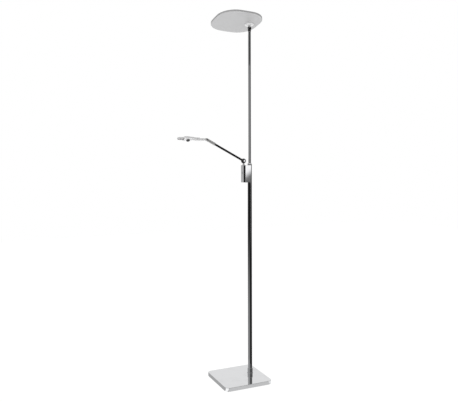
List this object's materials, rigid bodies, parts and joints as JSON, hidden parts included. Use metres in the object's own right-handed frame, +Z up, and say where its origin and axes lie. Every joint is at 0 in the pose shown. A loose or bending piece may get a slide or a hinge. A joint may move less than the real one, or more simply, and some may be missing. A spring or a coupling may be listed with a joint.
{
  "type": "torchiere floor lamp with reading light",
  "caption": "Slim floor lamp: square base, stepped pole, driver box with push button, jointed arm with a paddle-shaped reading head, and a tilting rounded-square uplighter on top.",
  "frame": {"origin": "middle of the square pad that the base stands on, at floor level", "axes": "+Z up along the pole; -Y is the front, where the reading arm and the uplighter reach; +X to the right seen from the front"},
  "size_m": [0.262, 0.436, 1.8061],
  "materials": {
    "chrome": "polished chrome plate",
    "satin_silver": "satin silver lacquer",
    "satin_nickel": "fine satin",
    "black_lacquer": "gloss black lacquer",
    "zinc_steel": "bright zinc",
    "iron": "raw casting",
    "rubber": "matt",
    "black_plastic": "fine matt",
    "board": "solder mask",
    "white_board": "white solder mask",
    "component": "moulded",
    "led": "phosphor",
    "opal": "opal acrylic",
    "lead": "pvc"
  },
  "bodies": {
    "stand": {"base_cover": "chrome", "base_weight": "iron", "base_plate": "zinc_steel", "base_pad": "rubber", "base_screws": "zinc_steel", "cable_gland": "black_plastic", "pole_collar": "chrome", "foot_plug": "zinc_steel", "foot_nipple": "zinc_steel", "foot_washer": "zinc_steel", "foot_nut": "zinc_steel", "lower_tube": "chrome", "tube_cap": "satin_nickel", "guide_bush": "black_plastic", "upper_tube": "chrome", "set_screws": "zinc_steel", "upper_lead": "lead", "housing_shell": "chrome", "housing_top": "chrome", "housing_floor": "chrome", "housing_screws": "zinc_steel", "saddle_screws": "zinc_steel", "driver_board": "board", "driver_parts": "component", "button_switch": "board", "stem_bush": "satin_nickel", "top_bush": "satin_nickel"},
    "box_button": {"uplight_button": "chrome"},
    "arm_swivel": {"swivel_stem": "satin_silver", "stem_washer": "zinc_steel", "stem_nut": "zinc_steel"},
    "arm": {"arm_ball": "chrome", "ball_pin": "chrome", "ball_washers": "black_plastic", "arm_rod": "black_lacquer", "arm_sleeve": "satin_nickel", "arm_lead": "lead", "elbow_pin": "chrome"},
    "neck": {"head_neck": "satin_silver", "neck_ring": "zinc_steel"},
    "reading_head": {"head_shell": "satin_nickel", "head_cover": "satin_silver", "head_screws": "zinc_steel", "window_trim": "black_plastic", "reading_window": "opal", "reading_board": "white_board", "reading_leds": "led"},
    "head_button": {"reading_button": "black_plastic"},
    "knuckle": {"top_ball": "chrome", "top_clip": "zinc_steel", "top_pin": "chrome"},
    "stub": {"head_stub": "satin_silver", "stub_washer": "zinc_steel", "stub_nut": "zinc_steel"},
    "uplighter": {"head_flange": "satin_silver", "flange_screws": "zinc_steel", "uplight_tray": "satin_silver", "uplight_board": "white_board", "uplight_leds": "led", "uplight_diffuser": "opal"}
  },
  "joints": [
    {"name": "box_button_press", "type": "slide", "parent": "stand", "child": "box_button", "axis": [0, 1, 0], "range_m": [0, 0.0012], "stiffness_N_per_m": 600, "springref_m": -0.002},
    {"name": "arm_turn", "type": "hinge", "parent": "stand", "child": "arm_swivel", "pos_m": [-0.018, 0.037, 1.102], "axis": [0, 0, 1], "range_deg": [-135, 135]},
    {"name": "arm_tilt", "type": "hinge", "parent": "arm_swivel", "child": "arm", "pos_m": [-0.018, 0.037, 1.102], "axis": [-1, 0, 0], "range_deg": [-40, 52]},
    {"name": "elbow_tilt", "type": "hinge", "parent": "arm", "child": "neck", "pos_m": [-0.018, -0.15903, 1.20492], "axis": [-1, 0, 0], "range_deg": [-60, 60]},
    {"name": "head_turn", "type": "hinge", "parent": "neck", "child": "reading_head", "pos_m": [-0.018, -0.15903, 1.20492], "axis": [0, -1, 0], "range_deg": [-115, 65]},
    {"name": "head_button_press", "type": "slide", "parent": "reading_head", "child": "head_button", "axis": [-0.4226, 0, 0.9063], "range_m": [0, 0.001], "stiffness_N_per_m": 400, "springref_m": -0.002},
    {"name": "uplight_turn", "type": "hinge", "parent": "stand", "child": "knuckle", "pos_m": [-0.018, 0.071, 1.755], "axis": [0, 0, 1], "range_deg": [-150, 150]},
    {"name": "uplight_tilt", "type": "hinge", "parent": "knuckle", "child": "stub", "pos_m": [-0.018, 0.071, 1.755], "axis": [0.1908, 0.9816, 0], "range_deg": [-34, 54]},
    {"name": "uplight_spin", "type": "hinge", "parent": "stub", "child": "uplighter", "pos_m": [-0.018, 0.071, 1.755], "axis": [-0.1705, 0.0331, 0.9848], "range_deg": [-90, 90]}
  ]
}
